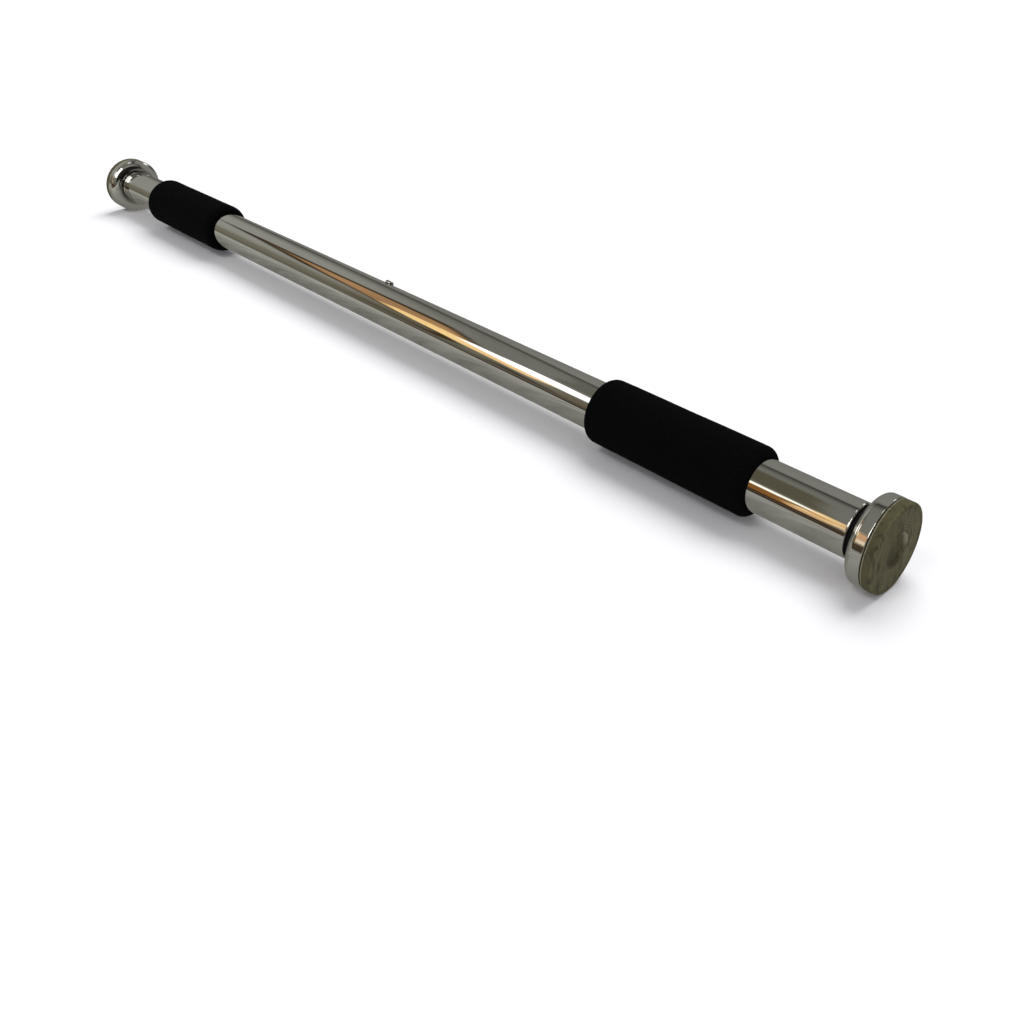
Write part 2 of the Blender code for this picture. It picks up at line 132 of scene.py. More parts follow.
def rounded(corners, steps):
    """An outline of (x, radius) points from corners of (x, radius, rounding).

    Where there is room, a rounding has a point just outside it at both ends, which keeps the flats
    beside it flat when the piece is shaded smooth.
    """
    points = []
    count = len(corners)
    for i, (x, radius, rounding) in enumerate(corners):
        if not rounding:
            points.append((x, radius))
            continue
        here = Vector((x, radius))
        back = Vector(corners[i - 1][:2]) - here
        on = Vector(corners[(i + 1) % count][:2]) - here
        room_back, room_on = back.length, on.length
        back.normalize()
        on.normalize()
        half = math.acos(max(-1, min(1, back.dot(on)))) / 2
        reach = rounding / math.tan(half)
        centre = here + (back + on).normalized() * rounding / math.sin(half)
        first = here + back * reach - centre
        last = here + on * reach - centre
        sweep = first.angle_signed(last)
        if room_back > reach * LONG_FLAT + GUARD:
            points.append(tuple(here + back * (reach + GUARD)))
        for step in range(steps + 1):
            turn = Matrix.Rotation(-sweep * step / steps, 2)
            points.append(tuple(centre + turn @ first))
        if room_on > reach * LONG_FLAT + GUARD:
            points.append(tuple(here + on * (reach + GUARD)))
    return points


def spread(points, longest):
    """The same outline with extra points, so that no stretch is longer than the given length."""
    fine = []
    for (x0, r0), (x1, r1) in zip(points, points[1:] + points[:1]):
        pieces = max(1, math.ceil(math.hypot(x1 - x0, r1 - r0) / longest))
        fine += [(x0 + (x1 - x0) * k / pieces, r0 + (r1 - r0) * k / pieces) for k in range(pieces)]
    return fine


def turned(name, outline, side=1, closed=True, count=ROUND, swell=None, sharp=40):
    """A piece turned about X from an outline in millimetres, mirrored where side is -1."""
    shape = bmesh.new()
    rings = []
    for k in range(count):
        angle = 2 * math.pi * k / count
        spin = Vector((0, math.sin(angle), math.cos(angle)))
        loop = []
        for x, radius in outline:
            if swell:
                radius += swell(x, radius, spin)
            if radius < 1e-6 and rings:
                loop.append(rings[0][len(loop)])
                continue
            loop.append(shape.verts.new(Vector((side * x * MM, 0, 0)) + spin * radius * MM))
        rings.append(loop)
    stretch = len(outline) if closed else len(outline) - 1
    for k in range(count):
        here, there = rings[k], rings[(k + 1) % count]
        for i in range(stretch):
            j = (i + 1) % len(outline)
            corners = []
            for vertex in (here[i], here[j], there[j], there[i]):
                if vertex not in corners:
                    corners.append(vertex)
            if len(corners) > 2:
                shape.faces.new(corners)
    bmesh.ops.recalc_face_normals(shape, faces=shape.faces)
    mesh = bpy.data.meshes.new(name)
    shape.to_mesh(mesh)
    shape.free()
    piece = bpy.data.objects.new(name, mesh)
    bpy.context.scene.collection.objects.link(piece)
    mesh.shade_smooth()
    mesh.set_sharp_from_angle(angle=math.radians(sharp))
    return piece


def place(piece, material, body, node):
    """Give a piece its material and the body it rides on, and hide the CAD node it stands for."""
    piece.data.materials.append(material)
    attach(piece, body)
    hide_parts(node)


# ---------------------------------------------------------------- materials

class Nodes:
    """A node tree that is written one call at a time."""

    def __init__(self, tree):
        self.tree = tree

    def add(self, kind, settings=None, **inputs):
        """A new node with its settings, and its inputs given as values or as sockets.

        An input is named with _ for a space, or as i0, i1 and so on by its number.
        """
        node = self.tree.nodes.new(kind)
        for name, value in (settings or {}).items():
            setattr(node, name, value)
        for name, value in inputs.items():
            numbered = name[0] == "i" and name[1:].isdigit()
            key = int(name[1:]) if numbered else name.replace("_", " ")
            self.put(node, key, value)
        return node

    def put(self, node, key, value):
        """Set a node's input to a value, or link a socket to it."""
        if isinstance(value, bpy.types.NodeSocket):
            self.tree.links.new(value, node.inputs[key])
        else:
            node.inputs[key].default_value = value

    def math(self, operation, first, second=0.0):
        """The result of a Math node."""
        return self.add("ShaderNodeMath", {"operation": operation}, i0=first, i1=second).outputs[0]

    def ramp(self, value, low, high, new_low=0.0, new_high=1.0):
        """A value mapped smoothly from one range to another."""
        node = self.add("ShaderNodeMapRange", {"interpolation_type": "SMOOTHSTEP"}, Value=value)
        limits = {"From Min": low, "From Max": high, "To Min": new_low, "To Max": new_high}
        for key, number in limits.items():
            node.inputs[key].default_value = number
        return node.outputs["Result"]

    def mix(self, factor, first, second):
        """A colour between two."""
        node = self.add("ShaderNodeMix", {"data_type": "RGBA"})
        self.put(node, 0, factor)
        self.put(node, 6, first)
        self.put(node, 7, second)
        return node.outputs[2]

    def times(self, *factors):
        """The product of two or more values."""
        result = factors[0]
        for factor in factors[1:]:
            result = self.math("MULTIPLY", result, factor)
        return result

    def band(self, value, low, high, soft):
        """1 between two limits in millimetres, falling to 0 outside them."""
        inside = self.ramp(value, (low - soft) * MM, (low + soft) * MM)
        return self.times(inside, self.ramp(value, (high - soft) * MM, (high + soft) * MM, 1.0, 0.0))

    def where(self):
        """Where a point is, in metres from the object's origin."""
        return self.add("ShaderNodeTexCoord").outputs["Object"]

    def split(self, vector):
        """The X, Y and Z of a vector."""
        return self.add("ShaderNodeSeparateXYZ", Vector=vector).outputs

    def from_axis(self, parts):
        """The distance from the bar's axis."""
        squares = [self.times(parts[key], parts[key]) for key in "YZ"]
        return self.math("SQRT", self.math("ADD", *squares))

    def grain(self, scale, stretch=(1, 1, 1), detail=2.0, roughness=0.5, shift=0.0):
        """Noise over the object, finer where its stretch is larger."""
        move = self.add("ShaderNodeMapping", Vector=self.where(), Scale=stretch, Location=(shift,) * 3)
        texture = self.add("ShaderNodeTexNoise", Vector=move.outputs[0], Scale=scale, Detail=detail,
                           Roughness=roughness)
        return texture.outputs["Fac"]


def surface(name, **sockets):
    """A new Principled material: returns it, its nodes and its shader."""
    material = bpy.data.materials.new(name)
    material.use_nodes = True
    nodes = Nodes(material.node_tree)
    shader = material.node_tree.nodes["Principled BSDF"]
    for key, value in sockets.items():
        shader.inputs[key.replace("_", " ")].default_value = value
    return material, nodes, shader


def bumped(nodes, shader, height, distance):
    """Link a height to a shader as a bump of the given depth in metres."""
    bump = nodes.add("ShaderNodeBump", Height=height, Distance=distance, Strength=1.0)
    nodes.put(shader, "Normal", bump.outputs["Normal"])


def chrome(name, drawn=True):
    """Polished chrome: smudges and a few specks of dust.

    A drawn tube has faint lines along it, and a pressed cup has a dark ring of painted shade round its
    collar, in place of a dark reflection there.
    """
    material, nodes, shader = surface(name, Metallic=1.0, Specular_Tint=(0.78, 0.78, 0.77, 1))
    fine_stretch, line_stretch = (0.02, 0.015) if drawn else (1, 1)
    cloud = nodes.ramp(nodes.grain(28, detail=3), 0.35, 0.7)
    tone = nodes.mix(cloud, (0.625, 0.622, 0.600, 1), (0.585, 0.580, 0.555, 1))
    speck = nodes.ramp(nodes.grain(520, detail=1, shift=3.0), 0.83, 0.85)
    tone = nodes.mix(speck, tone, (0.75, 0.74, 0.72, 1))
    if not drawn:
        # painted shade: a dark ring on the cup's face round the collar, standing in for the dark reflection
        # in the corner there
        parts = nodes.split(nodes.where())
        out = nodes.from_axis(parts)
        ring = nodes.ramp(out, 13.7 * MM, 14.0 * MM)
        ring = nodes.times(ring, nodes.ramp(out, 14.8 * MM, 18.0 * MM, 0.6, 0.0))
        inner = nodes.ramp(nodes.math("ABSOLUTE", parts["X"]), 367.2 * MM, 367.8 * MM, 1.0, 0.0)
        tone = nodes.mix(nodes.times(ring, inner), tone, (0.08, 0.075, 0.065, 1))
    nodes.put(shader, "Base Color", tone)
    smudge = nodes.ramp(nodes.grain(55, detail=4, shift=1.0), 0.45, 0.75, 0.0, 0.022)
    fine = nodes.ramp(nodes.grain(900, (fine_stretch, 1, 1), detail=2), 0.3, 0.7, 0.02, 0.04)
    dust = nodes.times(speck, 0.5)
    nodes.put(shader, "Roughness", nodes.math("ADD", nodes.math("ADD", smudge, fine), dust))
    lines = nodes.grain(500, (line_stretch, 1, 1), detail=3, shift=5.0)
    bumped(nodes, shader, lines, 0.000004)
    return material


def foam(name):
    """Matte black closed-cell foam, finely pitted."""
    material, nodes, shader = surface(name, Specular_IOR_Level=0.03)
    cells = nodes.add("ShaderNodeTexVoronoi", {"feature": "F1"}, Scale=1500.0, Vector=nodes.where())
    cells = cells.outputs["Distance"]
    cloud = nodes.grain(90, detail=4)
    tone = nodes.math("ADD", nodes.times(nodes.ramp(cells, 0.1, 0.8), 0.5), nodes.times(cloud, 0.5))
    nodes.put(shader, "Base Color", nodes.mix(tone, (0.0007, 0.0008, 0.0010, 1), (0.0032, 0.0034, 0.0036, 1)))
    nodes.put(shader, "Roughness", nodes.ramp(cloud, 0.3, 0.7, 0.9, 1.0))
    height = nodes.math("ADD", cells, nodes.times(nodes.grain(700, detail=3), 1.2))
    bumped(nodes, shader, height, 0.00022)
    return material


def rubber(name):
    """Olive moulded rubber: a cloudy bloom, dust in its rings and small dark scuffs, with a painted highlight
    on its lip and on its recess wall, and painted shade on its side and in and round its recess.
    """
    material, nodes, shader = surface(name, Specular_IOR_Level=0.12)
    parts = nodes.split(nodes.where())
    out = nodes.from_axis(parts)
    along = nodes.math("ABSOLUTE", parts["X"])
    cloud = nodes.ramp(nodes.grain(70, detail=5, roughness=0.6), 0.3, 0.7)
    tone = nodes.mix(cloud, (0.078, 0.071, 0.034, 1), (0.104, 0.095, 0.050, 1))
    # dust in the rings, in patches
    wave = nodes.math("SINE", nodes.math("MULTIPLY", out, 2 * math.pi / (RING_PITCH * MM)))
    patches = nodes.ramp(nodes.grain(60, detail=3, shift=2.0), 0.35, 0.6, 0.3, 0.95)
    rings = nodes.times(nodes.ramp(wave, -0.4, 1.0), nodes.band(out, 9.0, 20.0, 0.4), patches)
    tone = nodes.mix(rings, tone, (0.135, 0.125, 0.075, 1))
    # the recess: a painted highlight on the top of its wall, a dark line of painted shade on the flat face
    # just outside it, and painted shade low down in it
    wall = nodes.times(nodes.band(out, 7.7, 8.9, 0.15), nodes.ramp(parts["Z"], -3 * MM, 2 * MM, 0.0, 0.75))
    tone = nodes.mix(wall, tone, (0.260, 0.235, 0.165, 1))
    # painted shade: a dark line just outside the recess, where the face is flat
    groove_shade = nodes.times(nodes.band(out, 9.0, 9.5, 0.15), 0.7)
    tone = nodes.mix(groove_shade, tone, (0.040, 0.034, 0.020, 1))
    # painted shade on the lower side of the recess
    low = nodes.ramp(nodes.math("ADD", parts["Y"], parts["Z"]), 3 * MM, -6 * MM)
    recess_shade = nodes.times(low, nodes.band(out, -1.0, 8.9, 0.3), 0.55)
    tone = nodes.mix(recess_shade, tone, (0.045, 0.038, 0.022, 1))
    # painted shade: the side is darker, so that it looks no lighter than the face, though the lights fall on
    # it more
    side = nodes.times(nodes.band(along, 370.0, 379.9, 0.4), 0.4)
    tone = nodes.mix(side, tone, (0.050, 0.045, 0.023, 1))
    # painted highlight: a pale line on the lip by the cup, where light catches its edge
    lip = nodes.times(nodes.band(along, 375.6, 376.2, 0.12), 0.85)
    tone = nodes.mix(lip, tone, (0.240, 0.215, 0.150, 1))
    scuff = nodes.ramp(nodes.grain(230, (1, 1.7, 0.45), detail=5, roughness=0.7, shift=7.0), 0.52, 0.64)
    scuff = nodes.times(scuff, 0.75)
    nodes.put(shader, "Base Color", nodes.mix(scuff, tone, (0.034, 0.028, 0.017, 1)))
    nodes.put(shader, "Roughness", nodes.ramp(cloud, 0.0, 1.0, 0.48, 0.66))
    height = nodes.math("ADD", nodes.grain(900, detail=4), nodes.times(scuff, -0.5))
    bumped(nodes, shader, height, 0.00006)
    return material


def nylon(name):
    """Black moulded nylon."""
    material, nodes, shader = surface(name, Specular_IOR_Level=0.12)
    cloud = nodes.grain(120, detail=4)
    nodes.put(shader, "Base Color", nodes.mix(cloud, (0.0018, 0.0018, 0.0018, 1), (0.007, 0.007, 0.007, 1)))
    nodes.put(shader, "Roughness", nodes.ramp(cloud, 0.3, 0.7, 0.42, 0.6))
    bumped(nodes, shader, nodes.grain(1600, detail=2), 0.00002)
    return material


def metal(name, light, dark, rough, lines):
    """Plain or plated steel with turning marks or a drawn grain."""
    material, nodes, shader = surface(name, Metallic=1.0)
    cloud = nodes.ramp(nodes.grain(150, detail=5, roughness=0.6), 0.3, 0.7)
    nodes.put(shader, "Base Color", nodes.mix(cloud, light, dark))
    marks = nodes.grain(400, lines, detail=3)
    nodes.put(shader, "Roughness", nodes.ramp(marks, 0.3, 0.7, rough - 0.08, rough + 0.1))
    bumped(nodes, shader, marks, 0.00002)
    return material


# ---------------------------------------------------------------- the bar's pieces

def middle(node):
    """Lowest and highest x, and the greatest radius, of a CAD node, in millimetres."""
    low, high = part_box(node)
    return low.x / MM, high.x / MM, high.z / MM


def span(node, side):
    """Where a node of one side starts and ends along the bar, counted outwards, and its radius."""
    low, high, radius = middle(node)
    return (low, high, radius) if side > 0 else (-high, -low, radius)


def tube(look):
    """The outer tube, with rolled mouths."""
    low, high, radius = middle("outer_tube")
    outline = rounded([(low, TUBE_BORE, 0.3), (low, radius, 0.9),
                       (high, radius, 0.9), (high, TUBE_BORE, 0.3)], 8)
    place(turned("chrome_tube", outline), look, "bar_tube", "outer_tube")


def grip(name, side, look):
    """A foam sleeve: round ends, and a skin that isn't quite even."""
    start, end, radius = span(f"foam_grip_{name}", side)
    bore = middle("outer_tube")[2] + GRIP_FIT
    outline = rounded([(start + 0.5, bore, 0), (start + 0.1, radius, GRIP_EDGE),
                       (end - 0.1, radius, GRIP_EDGE), (end - 0.5, bore, 0)], 10)
    outline = spread(outline, GRIP_POINTS)

    def swell(x, r, spin):
        """How far the skin stands out, in millimetres: broad waves and fine pits, none in the bore."""
        if r < bore + 0.5:
            return 0.0
        wave = noise.noise(Vector((x * 0.045, spin.y * 1.3, spin.z * 1.3 + side * 4)))
        pit = noise.noise(Vector((x * 0.6, spin.y * 11, spin.z * 11 + side * 9)))
        return -0.10 + 0.14 * wave + 0.03 * pit

    piece = turned(f"foam_{name}", outline, side, count=GRIP_ROUND, swell=swell, sharp=60)
    place(piece, look, "bar_tube", f"foam_grip_{name}")


def bush(name, side, look):
    """The black bush, whose nose shows between the tube and the collar."""
    start, end, radius = span(f"guide_bush_{name}", side)
    stem = span(f"stem_tube_{name}", side)[2]
    nose = end - NOSE
    outline = rounded([(start, stem + FIT, 0.2), (start, TUBE_BORE - 2 * FIT, 0.2),
                       (start + 1, TUBE_BORE - FIT, 0), (nose, TUBE_BORE - FIT, 0), (nose, radius, 0.35),
                       (end, radius, 0.5), (end, stem + FIT, 0.3)], 4)
    place(turned(f"bush_{name}", outline, side), look, f"{name}_bush", f"guide_bush_{name}")


def stem(name, side, look):
    """The stem that slides out of the tube."""
    start, end, radius = span(f"stem_tube_{name}", side)
    outline = rounded([(start, STEM_BORE, 0.2), (start, radius, 0.3),
                       (end, radius, 0.3), (end, STEM_BORE, 0.2)], 3)
    place(turned(f"stem_{name}", outline, side), look, f"{name}_stem", f"stem_tube_{name}")


def collar(name, side, look):
    """The collar on the stem, with full round edges."""
    start, end, radius = span(f"stop_collar_{name}", side)
    bore = span(f"stem_tube_{name}", side)[2] + 0.1
    outline = rounded([(start, bore, 0.2), (start, radius, 1.15), (end, radius, 1.15), (end, bore, 0.2)], 8)
    place(turned(f"collar_{name}", outline, side), look, f"{name}_stem", f"stop_collar_{name}")


def cup(name, side, look):
    """The pressed cup: a domed face round the collar, which runs into a straight band."""
    start, end, radius = span(f"end_cup_{name}", side)
    front = start - DOME_RISE
    dome = []
    for step in range(2, DOME_STEPS + 1):
        angle = math.pi / 2 * step / DOME_STEPS
        dome.append((front + DOME_DEEP * (1 - math.cos(angle)),
                     DOME_HOLE + (radius - DOME_HOLE) * math.sin(angle), 0))
    face = [(start, BOLT_HOLE, 0.2), (start, DOME_HOLE - 0.1, 0), (front, DOME_HOLE, 0.3)]
    band = [(front + DOME_DEEP + GUARD, radius, 0), (end, radius, 0.5)]
    inside = [(end, radius - CUP_WALL, 0.4), (start + 2.2, radius - CUP_WALL, 2.0),
              (start + CUP_WALL, 18.0, 1.0), (start + CUP_WALL, BOLT_HOLE, 0.2)]
    outline = rounded(face + dome + band + inside, 12)
    piece = turned(f"cup_{name}", outline, side, count=END_ROUND)
    place(piece, look, f"{name}_stem", f"end_cup_{name}")


def pad(name, side, look):
    """The rubber pad: a lip round its edge, moulded rings and a round recess in its face."""
    start, end, radius = span(f"end_pad_{name}", side)
    back = end - PAD_EDGE
    inside = [(back + 2.0, 0, 0), (back + 2.0, PAD_BORE, 0.3), (start, PAD_BORE, 0.3),
              (start, PAD_STEM, 0.4), (back, PAD_STEM, 0)]
    lip = [(back, radius - 0.25, 0.2), (back + 0.7, radius, 0.4), (back + 1.1, radius - 0.12, 0.3),
           (back + 1.6, radius - 0.05, 0)]
    face = [(end, radius, 1.2), (end, 20.4, 0), (end - 0.18, 20.1, 0)]
    for ring in range(RINGS):
        r = RING_FIRST - RING_PITCH * ring
        deep = 0.12 + 0.03 * (ring % 3)
        face += [(end - 0.03, r, 0), (end - 0.03 - deep, r - 0.42, 0), (end - 0.03, r - 0.84, 0)]
    recess = [(end - 0.02, RECESS, 0.3), (end - RECESS_DEEP, RECESS - 1, 0.6),
              (end - RECESS_DEEP - 0.08, 0, 0)]
    outline = rounded(inside + lip + face + recess, 5)
    piece = turned(f"pad_{name}", outline, side, closed=False, count=END_ROUND, sharp=50)
    place(piece, look, f"{name}_stem", f"end_pad_{name}")


def cut_box(piece, matrix):
    """Cut out of a piece the box that the matrix makes of a unit cube."""
    box = bmesh.new()
    bmesh.ops.create_cube(box, size=1)
    bmesh.ops.transform(box, matrix=matrix, verts=box.verts)
    mesh = bpy.data.meshes.new("cutter")
    box.to_mesh(mesh)
    box.free()
    cutter = bpy.data.objects.new("cutter", mesh)
    bpy.context.scene.collection.objects.link(cutter)
    cut = piece.modifiers.new("Cut", "BOOLEAN")
    cut.operation = "DIFFERENCE"
    cut.object = cutter
    bpy.context.view_layer.update()
    done = bpy.data.meshes.new_from_object(piece.evaluated_get(bpy.context.evaluated_depsgraph_get()))
    piece.modifiers.clear()
    piece.data = done
    bpy.data.objects.remove(cutter)


def screw(look):
    """The pan-head screw in the middle of the tube, with a cross recess.

    It is turned along the bar and then stood up, leaning as the CAD screw does.
    """
    low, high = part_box("centre_screw")
    lean = math.atan2((high.y + low.y) / 2, (high.z + low.z) / 2)
    radius = middle("outer_tube")[2]
    top = radius + SCREW_RISE
    outline = rounded([(SCREW_LOW, 0, 0), (SCREW_LOW, SCREW_SHANK, 0.5), (radius - 0.05, SCREW_SHANK, 0),
                       (radius + 0.1, SCREW_HEAD, 0.12), (top - 0.9, SCREW_HEAD, 0.35), (top, 2.0, 0.8),
                       (top, 0, 0)], 6)
    piece = turned("pan_screw", outline, closed=False, count=48)
    size = Matrix.Diagonal([length * MM for length in SLOT] + [1])
    for quarter in range(2):
        across = Matrix.Rotation(quarter * math.pi / 2 + SLOT_TURN, 4, "X")
        cut_box(piece, Matrix.Translation((top * MM, 0, 0)) @ across @ size)
    piece.data.transform(Matrix.Rotation(-lean, 4, "X") @ Matrix.Rotation(-math.pi / 2, 4, "Y"))
    piece.data.shade_smooth()
    piece.data.set_sharp_from_angle(angle=math.radians(35))
    place(piece, look, "bar_tube", "centre_screw")


def inner_pieces(steel, zinc, black):
    """Better materials for the CAD pieces inside the bar, which show only in a cut-open view."""
    looks = {"spindle_": "steel", "nut_rivet": "steel", "end_plug": "steel", "stop_": "zinc",
             "backing_plate": "zinc", "bolt_washer": "zinc", "cup_bolt": "zinc", "guide_ring": "nylon",
             "centre_block": "nylon"}
    materials = {"steel": steel, "zinc": zinc, "nylon": black}
    for name, thing in frame["nodes"].items():
        if thing.hide_render:
            continue
        slot = next(slot for start, slot in looks.items() if name.startswith(start))
        thing.data.materials.clear()
        thing.data.materials.append(materials[slot])


# ---------------------------------------------------------------- the room, floor, lights and camera

class Room(Nodes):
    """The world's nodes, which paint a room in mirrors, one card in front of another.

    Things are placed by lean, which is how far a direction points along the bar, and by turn, which is
    degrees round the bar from +Y over the top to -Y. Most are the same to the left and to the right.
    """

    def __init__(self, tree):
        super().__init__(tree)
        self.ray = self.add("ShaderNodeTexCoord").outputs["Generated"]
        parts = self.split(self.ray)
        self.along = parts["X"]
        lean = self.times(self.math("ABSOLUTE", self.along), -1.0)
        self.lean = self.math("ADD", lean, self.waver(9, 0.03, 1))
        circle = self.math("DIVIDE", self.math("ARCTAN2", parts["Z"], parts["Y"]), 2 * math.pi)
        self.circle = self.math("ADD", circle, self.waver(12, 0.02, 5))
        self.both_ways = self.add("ShaderNodeCombineXYZ", X=self.lean, Y=self.circle).outputs[0]
        self.one_way = self.add("ShaderNodeCombineXYZ", X=self.along, Y=self.circle).outputs[0]
        self.tone = None

    def waver(self, size, amount, seed):
        """A small unevenness, so that no edge in the room is quite straight."""
        move = self.add("ShaderNodeMapping", Vector=self.ray, Location=(seed, seed, seed))
        texture = self.add("ShaderNodeTexNoise", Vector=move.outputs[0], Scale=size, Detail=3.0)
        return self.times(self.math("SUBTRACT", texture.outputs["Fac"], 0.5), amount)

    def card(self, corners, soft, where):
        """1 inside the card with these (lean, turn) corners, falling to 0 at its soft edges."""
        points = [Vector((lean, turn / 360, 0)) for lean, turn in corners]
        centre = sum(points, Vector()) / len(points)
        edges = []
        for a, b in zip(points, points[1:] + points[:1]):
            inward = Vector((a.y - b.y, b.x - a.x, 0)).normalized()
            if inward.dot(centre - a) < 0:
                inward.negate()
            edge = inward.dot(a)
            across = self.add("ShaderNodeVectorMath", {"operation": "DOT_PRODUCT"}, i0=where, i1=inward)
            edges.append(self.ramp(across.outputs["Value"], edge - soft, edge + soft))
        return self.times(*edges)

    def cover(self, share, tone):
        """Put a share of another tone in front of the room."""
        self.tone = self.mix(share, self.tone, tone)

    def paint(self, corners, tone, soft=0.008):
        """Put a card in front of the room, at both ends of the bar."""
        self.cover(self.card(corners, soft, self.both_ways), tone)

    def paint_right(self, corners, tone, soft):
        """Put a card in front of the room, at the right-hand end alone."""
        self.cover(self.card(corners, soft, self.one_way), tone)


def oblong(left, right, top, low):
    """The (lean, turn) corners of an upright card."""
    return [(left, top), (right, top), (right, low), (left, low)]


def walls(room):
    """An even wall behind the bar, meeting in a dark corner one that is lighter to the far left."""
    slope, lean, level = 0.46, -0.60, 0.161
    line = room.math("ADD", room.times(room.lean, slope), level - slope * lean)
    corner = room.math("SUBTRACT", room.math("MINIMUM", line, 0.182), room.circle)
    light = room.mix(room.ramp(room.lean, -0.82, -0.63), mirrored(138, 137, 131), mirrored(108, 107, 101))
    near = room.mix(room.ramp(corner, -0.05, -0.004), mirrored(104, 104, 98), mirrored(72, 71, 65))
    near = room.mix(room.ramp(corner, -0.13, -0.03), light, near)
    room.tone = room.mix(room.ramp(corner, -0.002, 0.028), near, mirrored(118, 118, 113))
    crack = room.times(room.ramp(corner, -0.007, -0.003), room.ramp(corner, 0.001, 0.005, 1.0, 0.0))
    room.cover(room.times(crack, room.ramp(room.lean, -0.46, -0.41)), mirrored(40, 39, 35))
    # two dim panels on the lighter wall
    room.paint([(-0.605, 118), (-0.50, 118), (-0.50, 72), (-0.59, 72)], mirrored(92, 92, 84), 0.006)
    room.paint([(-0.47, 144), (-0.365, 144), (-0.372, 97), (-0.47, 95)], mirrored(82, 78, 64), 0.014)
    # under the curtains: an olive wall that is darker towards the skirting, with a strap hanging on it
    room.cover(room.ramp(room.circle, 0.375, 0.45), mirrored(106, 103, 91))
    room.paint([(-0.79, 181), (-0.69, 181), (-0.69, 160), (-0.76, 163)], mirrored(80, 73, 58), 0.03)
    room.paint([(-0.60, 181), (-0.50, 181), (-0.50, 152), (-0.60, 155)], mirrored(96, 88, 74), 0.02)
    room.paint([(-0.720, 183), (-0.706, 183), (-0.680, 158), (-0.696, 156)], mirrored(60, 42, 26), 0.006)
    room.paint([(-0.66, 181), (-0.62, 181), (-0.60, 172), (-0.65, 166)], mirrored(44, 43, 38), 0.014)


def curtains(room):
    """A curtain in shade with a dark hem, one in the sun, and a drape by the window."""
    weave = room.add("ShaderNodeMapping", Vector=room.both_ways, Scale=(14.0, 110.0, 1.0))
    fold = room.add("ShaderNodeTexNoise", Vector=weave.outputs[0], Scale=1.0, Detail=4.0).outputs["Fac"]
    fold = room.ramp(fold, 0.32, 0.68)
    shaded = room.mix(fold, mirrored(134, 101, 70), mirrored(178, 139, 99))
    room.paint([(-0.845, 104), (-0.69, 97), (-0.668, 125), (-0.668, 140), (-0.69, 160), (-0.72, 156),
                (-0.75, 148), (-0.795, 133)], mirrored(52, 44, 33), 0.010)
    room.paint([(-0.808, 112), (-0.696, 108), (-0.678, 125), (-0.67, 145), (-0.74, 146), (-0.78, 128)],
               shaded, 0.012)
    sunny = room.mix(room.ramp(room.lean, -0.70, -0.64), mirrored(255, 219, 152), mirrored(240, 202, 148))
    sunny = room.mix(room.times(fold, 0.6), sunny, mirrored(212, 166, 114))
    room.paint([(-0.740, 134), (-0.745, 142), (-0.72, 150.5), (-0.69, 156), (-0.655, 159),
                (-0.625, 158.5), (-0.603, 150), (-0.66, 134), (-0.70, 130)], sunny)
    # the drape: brown in its folds and bright on its edge
    glow = room.mix(fold, mirrored(178, 132, 84), mirrored(252, 220, 164))
    room.paint(oblong(-0.50, -0.390, 186, 155), mirrored(124, 84, 40))
    room.paint([(-0.40, 190), (-0.22, 190), (-0.22, 173), (-0.40, 176)], mirrored(50, 33, 17), 0.010)
    room.paint([(-0.398, 172), (-0.37, 172), (-0.345, 165), (-0.335, 146), (-0.372, 146), (-0.398, 165)],
               glow, 0.006)
    room.paint(oblong(-0.342, -0.20, 171, 161), mirrored(214, 196, 168), 0.006)
    room.paint(oblong(-0.342, -0.20, 161, 148), mirrored(188, 150, 112), 0.006)


def windows(room):
    """Windows towards both ends, a large one in a grey wall on the right, and strips beside the bar."""
    white, warm, bright = (2.1, 2.1, 2.05, 1), (1.75, 1.72, 1.5, 1), (3.2, 3.2, 3.1, 1)
    strip, pale = (1.7, 1.7, 1.65, 1), (1.2, 1.2, 1.18, 1)
    room.paint([(-0.684, 137), (-0.645, 146.5), (-0.605, 149.5), (-0.52, 149), (-0.52, 133), (-0.57, 127),
                (-0.60, 123.5), (-0.645, 125.5), (-0.676, 131)], white, 0.006)
    room.paint([(-0.46, 157), (-0.40, 155.5), (-0.378, 153), (-0.378, 149.5), (-0.46, 147.5)], warm, 0.004)
    room.paint(oblong(-0.995, -0.915, 165, 112), white, 0.006)
    room.paint_right(oblong(0.14, 0.97, 172, 92), mirrored(108, 107, 99), 0.03)
    # the far right of the room is dark
    room.cover(room.ramp(room.along, 0.80, 0.88), mirrored(30, 29, 26))
    room.paint_right([(0.30, 150), (0.76, 150), (0.76, 106), (0.30, 112)], bright, 0.006)
    # strips, and a sideboard low down behind the bar
    room.paint(oblong(-0.28, 0.05, 36, 25), strip, 0.01)
    room.paint(oblong(-0.28, 0.05, 22, 4), mirrored(58, 55, 48), 0.02)
    room.paint(oblong(-0.28, 0.05, 84, 74), pale, 0.01)
    room.paint(oblong(-0.28, 0.05, 145, 132), strip, 0.01)


def world():
    """A world that is a grey room in mirrors, white to the camera, and plain soft light otherwise."""
    made = bpy.data.worlds.new("room")
    bpy.context.scene.world = made
    made.use_nodes = True
    room = Room(made.node_tree)
    walls(room)
    curtains(room)
    windows(room)
    skirting = room.mix(room.ramp(room.lean, -0.82, -0.40), mirrored(92, 88, 76), mirrored(56, 40, 24))
    room.cover(room.ramp(room.circle, 0.478, 0.490), skirting)
    path = room.add("ShaderNodeLightPath").outputs
    plain = room.mix(path["Is Camera Ray"], (0.33, 0.320, 0.343, 1), (1.0, 1.0, 1.0, 1))
    background = made.node_tree.nodes["Background"]
    room.put(background, "Color", room.mix(path["Is Glossy Ray"], plain, room.tone))


